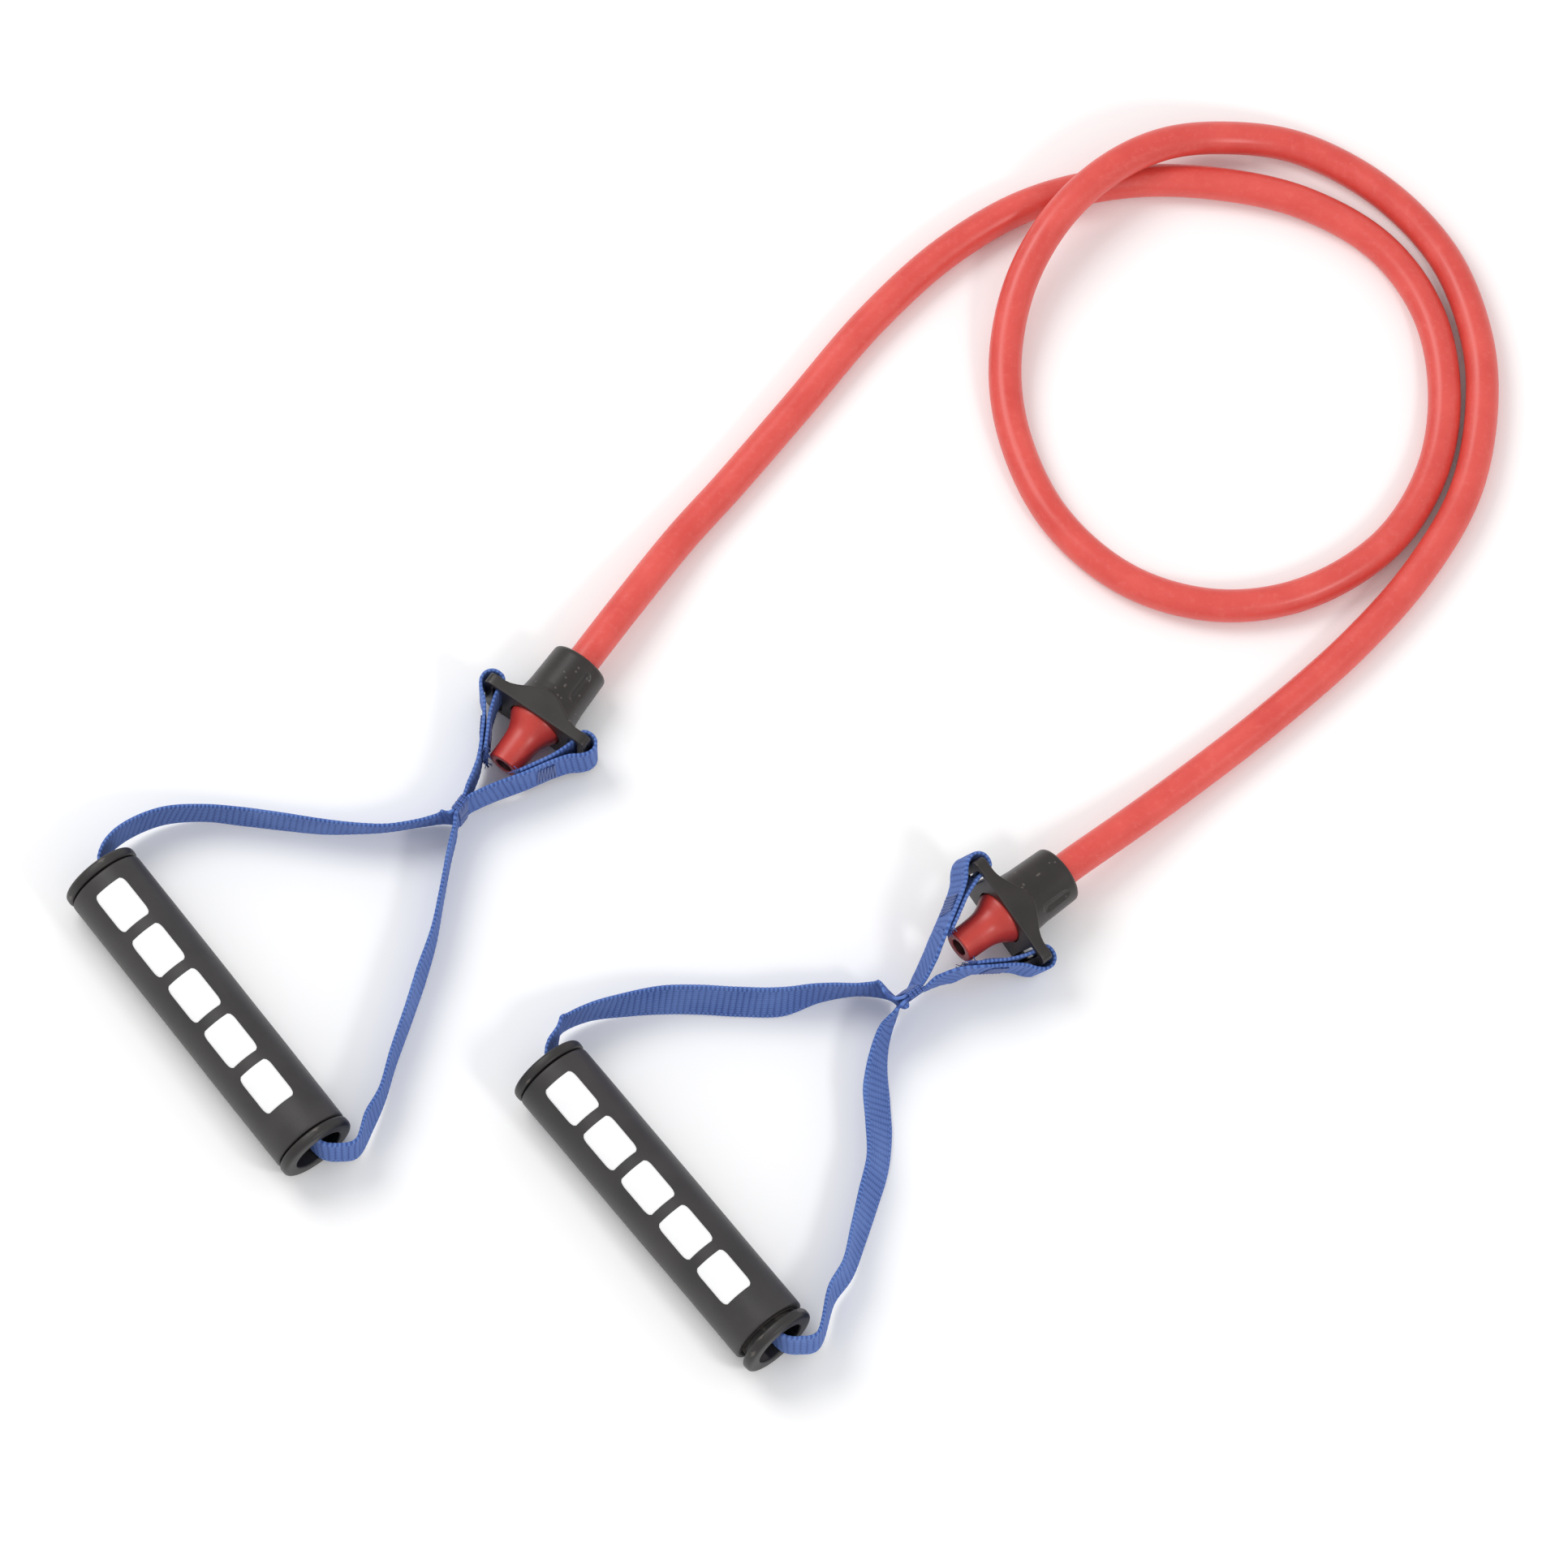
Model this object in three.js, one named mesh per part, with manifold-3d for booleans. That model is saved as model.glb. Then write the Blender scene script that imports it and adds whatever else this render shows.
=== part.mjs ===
// A tubular resistance band: one rubber tube laid in an open loop, and at each end a yoke that swivels on
// the tube, a webbing sling folded round the yoke's two end bars, and a hollow foam-covered grip that spins
// on the webbing. Millimetres, +Z up, everything lies on z = 0.
import * as THREE from "three";
import { mergeVertices } from "three/addons/utils/BufferGeometryUtils.js";
import Module from "manifold-3d";

const wasm = await Module();
wasm.setup();

// ---- driving dimensions -----------------------------------------------------------------------------
const GAP = 0.3; // running or standing clearance between neighbouring solids

const TUBE = { diameter: 12.5, sides: 10, steps: 80 };

const YOKE = {
  length: 30, // mouth of the collar to the face that looks at the grip
  span: 46.5, // across both end bars
  breadth: 26,
  barThickness: 4.4, // along the tube's axis
  hubThickness: 10.8,
  hubHalfWidth: 17,
  slotInner: 15.4, // from the axis to the slot's inner and outer edges
  slotOuter: 19.4,
  slotLength: 20.8,
  cornerRadius: 3.5,
  collarRadius: 11.8,
  boreRadius: 6.8,
};

const WEBBING = { width: 19, thickness: 1.3 };

const GRIP = {
  length: 138, // over both end caps when they are seated
  capRadius: 15.5,
  capThickness: 4.2,
  openingRadius: 10,
  spigotRadius: 11.1,
  spigotLength: 12,
  coreInner: 11.4,
  coreOuter: 12.6,
  sleeveInner: 12.9,
  sleeveOuter: 15.3,
};

const GRIP_HEIGHT = GRIP.capRadius;
const TUBE_START = -8.9; // the plain tube begins here, behind the flared end, on the yoke's axis
const TACK = 45; // how far in front of the yoke's face the two legs of the sling part
const TACK_GAP = 1; // from there to the ends of the legs on either side, so that the sling can swing

// Layout of the two ends. yoke: centre of the face that looks at the grip, the heading of the axis towards the
// grip, how far the axis rises that way, and how far the yoke is rolled about it, in degrees. tack: where the
// legs meet, aside from the yoke's axis and above it. legLean: how far the top edge of each leg between yoke
// and tack tips over, half way. grip: centre and heading. upper and lower: the sling's legs between the grip's
// ends and the cross tack, as [x, y, z, lean], where lean tips the webbing's top edge outwards, in degrees.
const SIDES = {
  a: {
    yoke: { x: -16.6, y: 110.9, z: 13, heading: 234.5, rise: 0, roll: 0 },
    tack: { aside: -2.8, up: -1.5 },
    legLean: { right: 0, left: 0 },
    grip: { x: -138, y: -4, heading: -52.8 },
    capStandOff: 0,
    upper: [
      [-168, 69.5, 13, 0],
      [-156, 75, 11.5, -1],
      [-141, 76.9, 9.8, -2],
      [-126, 75.5, 9.7, 0],
      [-111, 73.5, 9.7, -1],
      [-96, 71.5, 9.7, -4],
      [-84, 70.8, 9.7, -9],
      [-72, 70.9, 9.7, -13],
      [-60, 72.8, 9.8, -13],
      [-50, 74.6, 10.7, -8],
    ],
    lower: [
      [-77.7, -46, 12, -7],
      [-73.2, -36, 11, -2],
      [-68.9, -20, 9.8, -3],
      [-63.7, -4, 9.7, -4],
      [-58.8, 12, 9.7, -6],
      [-54.1, 28, 9.7, -2],
      [-51.2, 44, 9.7, 0],
      [-48.4, 60, 10.4, 0],
      [-46.4, 69, 11, 0],
    ],
  },
  b: {
    yoke: { x: 157.4, y: 31.8, z: 19.2, heading: 220, rise: 7.5, roll: -19.5 },
    tack: { aside: 3.8, up: -10.2 },
    legLean: { right: -16, left: 0 },
    grip: { x: 31.2, y: -79.6, heading: -51.2 },
    capStandOff: 2,
    upper: [
      [-6, -8.7, 13, -4],
      [4, -2.9, 11.5, -1],
      [18, 0.7, 9.9, 7],
      [32, 2.6, 9.7, 14],
      [46, 2.7, 9.6, 15],
      [60, 1.9, 9.6, 15],
      [76, 1.9, 9.6, 15],
      [90, 5.3, 9.7, 1],
      [104, 6.6, 9.8, -8],
      [114.2, 5.6, 11.2, -2],
    ],
    lower: [
      [94.8, -114, 12, -5],
      [100.6, -104, 11, -9],
      [104.6, -90, 9.8, -15],
      [108.3, -76, 9.5, -20],
      [111.8, -62, 9.3, -23],
      [112.3, -48, 8.9, -30],
      [111.5, -34, 8.9, -31],
      [112.4, -20, 9.5, -17],
      [115.6, -8, 10.5, -6],
    ],
  },
};

// The tube's route between the two yokes, where it lies free. It climbs over itself once, in a low hump.
const LOOSE_ROUTE = [
  [17.9, 159.6, 11.4],
  [38.8, 188.8, 7.4],
  [55.7, 209, 6.45],
  [82, 241.5, 6.45],
  [110, 276.5, 6.45],
  [139, 304.5, 6.45],
  [170, 323.5, 6.45],
  [206, 332.5, 6.45],
  [240, 332, 6.45],
  [274, 324, 6.45],
  [303, 306, 6.45],
  [320.5, 280, 6.45],
  [326.5, 248, 6.45],
  [321.5, 215, 6.45],
  [304, 186, 6.45],
  [273, 166, 6.45],
  [240, 161.2, 6.45],
  [207, 171, 6.45],
  [180, 195, 6.45],
  [165, 226, 6.5],
  [160.5, 256, 8.6],
  [166, 287, 14],
  [180, 312.5, 19],
  [199, 331.5, 19.7],
  [220, 343.5, 17.2],
  [244, 349, 10.5],
  [272, 346.5, 6.6],
  [303, 329, 6.45],
  [327, 302, 6.45],
  [339, 269, 6.45],
  [340.5, 240, 6.45],
  [334, 207, 6.45],
  [317, 176, 6.45],
  [292, 146, 6.45],
  [258, 114.5, 6.45],
  [228, 89.6, 7.7],
  [208, 73.3, 10.4],
];

// ---- materials ----------------------------------------------------------------------------------------
function material(color, roughness) {
  return new THREE.MeshStandardMaterial({ color, roughness, metalness: 0 });
}

const MATERIALS = {
  tube: material(0xe6564e, 0.45),
  tubeEnd: material(0xa5362f, 0.35),
  stopper: material(0xd9d4c8, 0.5),
  plastic: material(0x38332f, 0.5),
  webbing: material(0x3f63b8, 0.9),
  thread: material(0x2d4a96, 0.85),
  foam: material(0x3a3736, 0.8),
  core: material(0x2a2827, 0.55),
};

// ---- solids -------------------------------------------------------------------------------------------
function toSolid(geometry) {
  const bare = geometry.clone();
  bare.deleteAttribute("normal");
  bare.deleteAttribute("uv");
  const merged = mergeVertices(bare, 1e-4);
  return new wasm.Manifold(
    new wasm.Mesh({
      numProp: 3,
      vertProperties: new Float32Array(merged.attributes.position.array),
      triVerts: new Uint32Array(merged.index.array),
    }),
  );
}

function toGeometry(solid) {
  const mesh = solid.getMesh();
  return new THREE.BufferGeometry()
    .setAttribute("position", new THREE.BufferAttribute(mesh.vertProperties, 3))
    .setIndex(new THREE.BufferAttribute(mesh.triVerts, 1));
}

// A solid of revolution about +X. The profile is a closed list of [x, radius], walked so that the faces
// look outwards: along the inside towards +X, and back along the outside.
function turned(profile, segments) {
  const points = profile.map(([x, r]) => new THREE.Vector2(r, x)).reverse();
  if (profile.every(([, r]) => r > 0)) points.push(points[0].clone());
  return new THREE.LatheGeometry(points, segments).rotateZ(-Math.PI / 2);
}

// Points on a quarter circle about [x, r], from one angle to another, in degrees.
function arc(x, r, radius, from, to, steps = 4) {
  return Array.from({ length: steps + 1 }, (_, i) => {
    const angle = THREE.MathUtils.degToRad(from + ((to - from) * i) / steps);
    return [x + radius * Math.cos(angle), r + radius * Math.sin(angle)];
  });
}

// A flat woven strip swept along a route of [x, y, z, lean]. Lean tips the top edge to the left of travel.
function band(route, step) {
  const { width, thickness } = WEBBING;
  const curve = new THREE.CatmullRomCurve3(
    route.map(([x, y, z]) => new THREE.Vector3(x, y, z)),
    false,
    "centripetal",
  );
  curve.arcLengthDivisions = 400;
  const stations = Math.round(curve.getLength() / step);
  const positions = [];
  for (let i = 0; i <= stations; i++) {
    const t = curve.getUtoTmapping(i / stations);
    const along = t * (route.length - 1);
    const k = Math.min(Math.floor(along), route.length - 2);
    const lean = THREE.MathUtils.degToRad(
      THREE.MathUtils.lerp(route[k][3], route[k + 1][3], along - k),
    );
    const centre = curve.getPoint(t);
    const tangent = curve.getTangent(t);
    const left = new THREE.Vector3(0, 0, 1).cross(tangent).normalize();
    const up = tangent.clone().cross(left);
    const across = up.clone().multiplyScalar(Math.cos(lean));
    across.addScaledVector(left, Math.sin(lean));
    const through = left.clone().multiplyScalar(Math.cos(lean));
    through.addScaledVector(up, -Math.sin(lean));
    for (const [s, q] of [[-1, -1], [1, -1], [1, 1], [-1, 1]]) {
      const corner = centre.clone();
      corner.addScaledVector(across, (s * width) / 2);
      corner.addScaledVector(through, (q * thickness) / 2);
      positions.push(corner.x, corner.y, corner.z);
    }
  }
  const index = [0, 1, 2, 0, 2, 3];
  for (let i = 0; i < stations; i++) {
    for (let side = 0; side < 4; side++) {
      const here = 4 * i + side;
      const next = 4 * i + ((side + 1) % 4);
      index.push(here, next + 4, next, here, here + 4, next + 4);
    }
  }
  const last = 4 * stations;
  index.push(last, last + 2, last + 1, last, last + 3, last + 2);
  return new THREE.BufferGeometry()
    .setAttribute("position", new THREE.Float32BufferAttribute(positions, 3))
    .setIndex(index);
}

// A rectangle with round corners, centred on the origin.
function roundedRectangle(width, height, radius) {
  const [w, h] = [width / 2, height / 2];
  const shape = new THREE.Shape();
  shape.moveTo(-w + radius, -h);
  shape.absarc(w - radius, -h + radius, radius, -Math.PI / 2, 0);
  shape.absarc(w - radius, h - radius, radius, 0, Math.PI / 2);
  shape.absarc(-w + radius, h - radius, radius, Math.PI / 2, Math.PI);
  shape.absarc(-w + radius, -h + radius, radius, Math.PI, 1.5 * Math.PI);
  return shape;
}

// ---- the tube and its ends ------------------------------------------------------------------------------
// Puts an object in the frame of one side's yoke: X along the axis towards the grip, Z up along the plate.
function placeAtYoke(object, { yoke }) {
  const [roll, rise, heading] = [yoke.roll, -yoke.rise, yoke.heading].map(THREE.MathUtils.degToRad);
  object.position.set(yoke.x, yoke.y, yoke.z);
  object.rotation.set(roll, rise, heading, "ZYX");
  return object;
}

// A point given in the frame of one side's yoke.
function atYoke(side, along, aside = 0, up = 0) {
  const frame = placeAtYoke(new THREE.Object3D(), side);
  frame.updateMatrix();
  return new THREE.Vector3(along, aside, up).applyMatrix4(frame.matrix).toArray();
}

function tubeGeometry() {
  const straight = [TUBE_START, -20, -31, -38];
  const start = straight.map((x) => atYoke(SIDES.a, x));
  const end = straight.map((x) => atYoke(SIDES.b, x)).reverse();
  const route = [...start, ...LOOSE_ROUTE, ...end];
  const path = new THREE.CatmullRomCurve3(
    route.map((p) => new THREE.Vector3(...p)),
    false,
    "centripetal",
  );
  path.arcLengthDivisions = 2000;
  const section = new THREE.Shape();
  for (let i = 0; i < TUBE.sides; i++) {
    const angle = (2 * Math.PI * i) / TUBE.sides;
    const [x, y] = [Math.cos(angle), Math.sin(angle)].map((c) => (c * TUBE.diameter) / 2);
    if (i === 0) section.moveTo(x, y);
    else section.lineTo(x, y);
  }
  section.closePath();
  return new THREE.ExtrudeGeometry(section, { steps: TUBE.steps, extrudePath: path });
}

// Outside of the flared end: tube size behind the flare, the bulge on the seat, the waist and the plain tail.
const FLARE = [
  [-8.6, 6.25],
  [-7, 6.6],
  [-5, 8],
  [-3, 9.6],
  [-1.2, 10.5],
  [0.4, 10.5],
  [2.2, 9.6],
  [4.2, 8.4],
  [6.6, 7.4],
  [9.4, 6.9],
  [13, 6.7],
  [19.4, 6.6],
  [20, 6.1],
];
const TUBE_BORE = 2.7;
const STOPPER = { x: -1, radius: 6.6, halfLength: 5.4 };

// Half of the stopper's outline, grown by a clearance, from back to front.
function stopperOutline(grow, steps) {
  return Array.from({ length: steps + 1 }, (_, i) => {
    const angle = Math.PI - (Math.PI * i) / steps;
    const x = STOPPER.x + (STOPPER.halfLength + grow) * Math.cos(angle);
    return [x, (STOPPER.radius + grow) * Math.sin(angle)];
  });
}

function tubeEndGeometry() {
  const cavity = stopperOutline(GAP + 0.1, 10).filter(([, r]) => r > TUBE_BORE);
  const first = cavity[0];
  const last = cavity[cavity.length - 1];
  const inside = [
    [FLARE[0][0], TUBE_BORE],
    [first[0] - 0.4, TUBE_BORE],
    ...cavity,
    [last[0] + 0.4, TUBE_BORE],
    [20, TUBE_BORE],
  ];
  return turned([...inside, ...FLARE.slice().reverse()], 24);
}

function stopperGeometry() {
  const outline = stopperOutline(0, 10);
  outline[0][1] = 0;
  outline[outline.length - 1][1] = 0;
  return turned(outline.reverse(), 24);
}

// ---- the yoke ---------------------------------------------------------------------------------------------
// Plan outline of the cross plate: thin at the end bars, thick at the hub, on a cosine.
function platePlan() {
  const half = YOKE.span / 2;
  const steps = 14;
  const shape = new THREE.Shape();
  shape.moveTo(0, -half);
  shape.lineTo(0, half);
  shape.lineTo(-YOKE.barThickness, half);
  for (let i = 0; i <= steps; i++) {
    const y = YOKE.hubHalfWidth * (1 - (2 * i) / steps);
    const rise = 0.5 + 0.5 * Math.cos((Math.PI * y) / YOKE.hubHalfWidth);
    const thickness = YOKE.barThickness + (YOKE.hubThickness - YOKE.barThickness) * rise;
    shape.lineTo(-thickness, y);
  }
  shape.lineTo(-YOKE.barThickness, -half);
  shape.closePath();
  return shape;
}

function yokeGeometry() {
  const { breadth, length, collarRadius, boreRadius } = YOKE;
  const plan = new THREE.ExtrudeGeometry(platePlan(), { depth: breadth, bevelEnabled: false });
  const outline = new THREE.ExtrudeGeometry(
    roundedRectangle(YOKE.span, breadth, YOKE.cornerRadius),
    { depth: 20, bevelEnabled: false, curveSegments: 4 },
  );
  // The outline is drawn in Y and Z, and reaches from the plate's front far enough back to hold the hub.
  outline.applyMatrix4(
    new THREE.Matrix4().makeBasis(
      new THREE.Vector3(0, 1, 0),
      new THREE.Vector3(0, 0, 1),
      new THREE.Vector3(1, 0, 0),
    ),
  );
  const plate = toSolid(plan.translate(0, 0, -breadth / 2)).intersect(
    toSolid(outline.translate(-19, 0, 0)),
  );

  const lip = 1.6;
  const collar = turned(
    [
      [-4, 0],
      [-4, collarRadius + 1],
      [-7, collarRadius + 1],
      [-10, collarRadius + 0.5],
      [-14, collarRadius + 0.1],
      ...arc(-length + lip, collarRadius - 0.3 - lip, lip, 90, 180),
      [-length, 0],
    ],
    36,
  );

  const seat = FLARE.filter(([x]) => x < 0.4).map(([x, r]) => [x, r + 0.4]);
  const passage = turned(
    [
      [1, 0],
      [1, 10.9],
      ...seat.reverse(),
      [-9.5, boreRadius],
      [-length - 1, boreRadius],
      [-length - 1, 0],
    ],
    32,
  );

  let solid = plate.add(toSolid(collar)).subtract(toSolid(passage));
  const slotWidth = YOKE.slotOuter - YOKE.slotInner;
  for (const side of [-1, 1]) {
    const slot = new THREE.BoxGeometry(20, slotWidth, YOKE.slotLength);
    slot.translate(0, (side * (YOKE.slotInner + YOKE.slotOuter)) / 2, 0);
    solid = solid.subtract(toSolid(slot));
  }
  // Two long pockets that thin the collar's wall, half a turn apart.
  const pocket = { radius: 3.2, depth: 0.9, from: -27, to: -12, azimuth: 52 };
  for (const turn of [0, 180]) {
    const angle = THREE.MathUtils.degToRad(pocket.azimuth + turn);
    const reach = collarRadius + pocket.radius - pocket.depth;
    const groove = new THREE.CapsuleGeometry(
      pocket.radius,
      pocket.to - pocket.from - 2 * pocket.radius,
      3,
      12,
    ).rotateZ(Math.PI / 2);
    groove.translate(
      (pocket.from + pocket.to) / 2,
      reach * Math.cos(angle),
      reach * Math.sin(angle),
    );
    solid = solid.subtract(toSolid(groove));
  }
  return toGeometry(solid);
}

// ---- the webbing at the yoke ------------------------------------------------------------------------------
const HALF_DOUBLE = WEBBING.thickness / 2 + 0.2; // a layer's middle, off the axis, where two lie together

// From the doubled stretch to the cross tack, which lies aside and above or below the axis. sign is 1 or -1.
function yokeStrapGeometry(sign, tack, lean) {
  const from = 20;
  const to = 40;
  const route = [
    [16.6, 12.25, 0],
    [from, 10.3, 0],
    [25, 7.4, 0.5],
    [30, 4.9, 1],
    [36, 2.4, 0],
    [to, HALF_DOUBLE, 0],
    [TACK - TACK_GAP, HALF_DOUBLE, 0],
  ];
  return band(
    route.map(([x, y, leaning]) => {
      const share = THREE.MathUtils.smoothstep(x, from, to);
      return [x, sign * y + share * tack.aside, share * tack.up, leaning * lean];
    }),
    4,
  );
}

// The fold round an end bar: out of the doubled stretch, round the bar, through the slot and back to the
// cut end, which lies inside the leg.
function barLoopGeometry(side) {
  const route = [
    [15.9, 12.6],
    [10, 16.1],
    [5, 19.7],
    [2.2, 23],
    [-0.6, 25.1],
    [-3.6, 25.4],
    [-6, 23.7],
    [-6.7, 21],
    [-5.9, 18.5],
    [-3.4, 17.5],
    [0, 17.3],
    [4.5, 16],
    [9.2, 14.1],
    [15.1, 10.9],
    [20.6, 7.9],
  ];
  return band(route.map(([x, y]) => [x, side * y, 0, 0]), 2.2);
}

const TACK_PAD = { length: 4, thickness: 0.5, height: 14, x: 12.9, y: 14.45, slope: -31.5 };

function barTackGeometry(side) {
  const off = WEBBING.thickness / 2 + GAP + TACK_PAD.thickness / 2;
  const slope = THREE.MathUtils.degToRad(side * TACK_PAD.slope);
  const pad = new THREE.BoxGeometry(TACK_PAD.length, TACK_PAD.thickness, TACK_PAD.height);
  pad.translate(0, side * off, 0).rotateZ(slope);
  return pad.translate(TACK_PAD.x, side * TACK_PAD.y, 0);
}

// The sewn wrap that holds the two legs together where they meet.
function crossTackGeometry(tack) {
  const outer = new THREE.BoxGeometry(3, 5.4, 21.4);
  const inner = new THREE.BoxGeometry(8, 3.8, 20);
  return toGeometry(toSolid(outer).subtract(toSolid(inner))).translate(42.4, tack.aside, tack.up);
}

// ---- the sling and the grip ---------------------------------------------------------------------------------
function alongGrip({ grip }, along, aside = 0) {
  const angle = THREE.MathUtils.degToRad(grip.heading);
  return [
    grip.x + along * Math.cos(angle) - aside * Math.sin(angle),
    grip.y + along * Math.sin(angle) + aside * Math.cos(angle),
  ];
}

// One strip from the cross tack, round the grip's far end, through its bore, and back to the tack.
function slingGeometry(side) {
  const half = GRIP.length / 2;
  const standOff = side.capStandOff;
  // Off the tack, the webbing has the yoke's roll as its lean, to the left when it leads away from the yoke.
  const tackEnd = (layer, along) => [
    ...atYoke(side, along, side.tack.aside + layer * HALF_DOUBLE, side.tack.up),
    layer * side.yoke.roll,
  ];
  // The bend round each end cap, as distances past the cap's face and aside from the grip's axis.
  const bend = [
    [7.2, 11.5, 14.2],
    [4.6, 5.2, 15],
    [0.5, 1.2, 15.5],
    [-8, 0.1, 15.5],
  ];
  const upperBend = bend.map(([x, y, z]) => [...alongGrip(side, -half - x, y), z, 0]);
  const lowerBend = bend.map(([x, y, z]) => [...alongGrip(side, half + standOff + x, y), z, 0]);
  return band([
    tackEnd(-1, TACK + TACK_GAP),
    tackEnd(-1, TACK + 2.5),
    ...side.upper.slice().reverse().map(([x, y, z, lean]) => [x, y, z, -lean]),
    ...upperBend,
    [...alongGrip(side, 0), GRIP_HEIGHT, 0],
    ...lowerBend.reverse(),
    ...side.lower.map(([x, y, z, lean]) => [x, y, z, -lean]),
    tackEnd(1, TACK + 2.5),
    tackEnd(1, TACK + TACK_GAP),
  ], 4.5);
}

const GRIP_SEGMENTS = 24;

function coreTubeGeometry() {
  const end = GRIP.length / 2 - GRIP.capThickness - GAP;
  return turned(
    [
      [-end, GRIP.coreInner],
      [end, GRIP.coreInner],
      [end, GRIP.coreOuter],
      [-end, GRIP.coreOuter],
    ],
    GRIP_SEGMENTS,
  );
}

function gripSleeveGeometry() {
  const { sleeveInner, sleeveOuter } = GRIP;
  const end = GRIP.length / 2 - GRIP.capThickness - 0.4;
  const round = 1.4;
  return turned(
    [
      [-end, sleeveInner],
      [end, sleeveInner],
      ...arc(end - round, sleeveOuter - round, round, 0, 90, 2),
      ...arc(-end + round, sleeveOuter - round, round, 90, 180, 2),
    ],
    GRIP_SEGMENTS,
  );
}

// An end cap: a ring with a rounded rim, and a spigot that plugs into the core tube. Its face is at x = 0
// and the spigot points to -X.
function endCapGeometry() {
  const { capRadius, capThickness, openingRadius, spigotRadius, spigotLength } = GRIP;
  const rim = 1.9;
  const inner = 0.9;
  return turned(
    [
      [-capThickness - spigotLength, openingRadius],
      ...arc(-inner, openingRadius + inner, inner, 270, 360, 2),
      ...arc(-rim, capRadius - rim, rim, 0, 90, 3),
      ...arc(-capThickness + rim, capRadius - rim, rim, 90, 180, 2),
      [-capThickness, spigotRadius],
      [-capThickness - spigotLength, spigotRadius],
    ],
    GRIP_SEGMENTS,
  );
}

// ---- assembly -----------------------------------------------------------------------------------------------
function named(name, geometry, look) {
  const mesh = new THREE.Mesh(geometry, look);
  mesh.name = name;
  return mesh;
}

function yokeEnd(letter, side) {
  const group = placeAtYoke(new THREE.Group(), side);
  group.add(
    named(`tube_end_${letter}`, tubeEndGeometry(), MATERIALS.tubeEnd),
    named(`stopper_${letter}`, stopperGeometry(), MATERIALS.stopper),
    named(`yoke_${letter}`, yokeGeometry(), MATERIALS.plastic),
    named(`cross_tack_${letter}`, crossTackGeometry(side.tack), MATERIALS.thread),
  );
  for (const [where, sign] of [["right", 1], ["left", -1]]) {
    const strap = yokeStrapGeometry(sign, side.tack, side.legLean[where]);
    group.add(
      named(`yoke_strap_${letter}_${where}`, strap, MATERIALS.webbing),
      named(`bar_loop_${letter}_${where}`, barLoopGeometry(sign), MATERIALS.webbing),
      named(`bar_tack_${letter}_${where}`, barTackGeometry(sign), MATERIALS.thread),
    );
  }
  return group;
}

function gripEnd(letter, side) {
  const group = new THREE.Group();
  group.position.set(side.grip.x, side.grip.y, GRIP_HEIGHT);
  group.rotation.z = THREE.MathUtils.degToRad(side.grip.heading);
  const half = GRIP.length / 2;
  const upperCap = named(`end_cap_${letter}_upper`, endCapGeometry(), MATERIALS.plastic);
  upperCap.position.x = -half;
  upperCap.rotation.z = Math.PI;
  const lowerCap = named(`end_cap_${letter}_lower`, endCapGeometry(), MATERIALS.plastic);
  lowerCap.position.x = half + side.capStandOff;
  group.add(
    named(`core_tube_${letter}`, coreTubeGeometry(), MATERIALS.core),
    named(`grip_sleeve_${letter}`, gripSleeveGeometry(), MATERIALS.foam),
    upperCap,
    lowerCap,
  );
  return group;
}

const resistanceBand = new THREE.Group();
resistanceBand.add(named("tube", tubeGeometry(), MATERIALS.tube));
for (const [letter, side] of Object.entries(SIDES)) {
  resistanceBand.add(
    yokeEnd(letter, side),
    named(`sling_${letter}`, slingGeometry(side), MATERIALS.webbing),
    gripEnd(letter, side),
  );
}

export default resistanceBand;
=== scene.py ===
"""A tubular resistance band on a pale floor: a rubber tube in an open loop, and at each end a swivelling
plastic yoke, a woven sling folded round the yoke's end bars, and a foam grip that spins on the webbing.

Every length is in metres. End a is the left one and end b the middle one, seen with both grips in front.
"""

import math
import random

import bmesh
import bpy
import numpy as np
from mathutils import Matrix, Vector, noise


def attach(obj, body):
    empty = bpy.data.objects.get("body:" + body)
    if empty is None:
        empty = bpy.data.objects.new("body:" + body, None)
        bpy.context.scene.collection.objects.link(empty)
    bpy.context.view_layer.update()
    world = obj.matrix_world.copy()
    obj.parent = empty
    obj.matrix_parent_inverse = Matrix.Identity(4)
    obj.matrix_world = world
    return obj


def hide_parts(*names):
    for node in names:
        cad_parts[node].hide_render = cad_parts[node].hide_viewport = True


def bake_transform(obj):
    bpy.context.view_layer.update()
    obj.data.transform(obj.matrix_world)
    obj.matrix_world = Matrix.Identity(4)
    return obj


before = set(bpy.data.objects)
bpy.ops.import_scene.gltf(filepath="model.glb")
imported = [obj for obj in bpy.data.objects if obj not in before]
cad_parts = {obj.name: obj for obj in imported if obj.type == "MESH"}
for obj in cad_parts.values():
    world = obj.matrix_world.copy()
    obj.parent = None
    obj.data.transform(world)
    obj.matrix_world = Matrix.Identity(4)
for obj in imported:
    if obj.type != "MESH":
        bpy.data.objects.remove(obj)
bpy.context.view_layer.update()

MM = 0.001

# ---- driving dimensions --------------------------------------------------------------------------

TUBE_DIAMETER = 12.5 * MM
TUBE_START = -8.9 * MM  # on each yoke's axis, behind the flared end

YOKE_LENGTH = 30 * MM
YOKE_SPAN = 46.5 * MM
YOKE_BREADTH = 26 * MM
YOKE_CORNER = 3.5 * MM
BAR_THICKNESS = 4.4 * MM
HUB_THICKNESS = 10.8 * MM
HUB_HALF_WIDTH = 17 * MM
SLOT = (15.4 * MM, 19.4 * MM, 20.8 * MM)  # inner and outer edge from the axis, and length
COLLAR_RADIUS = 11.8 * MM
COLLAR_BORE = 6.8 * MM

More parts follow.
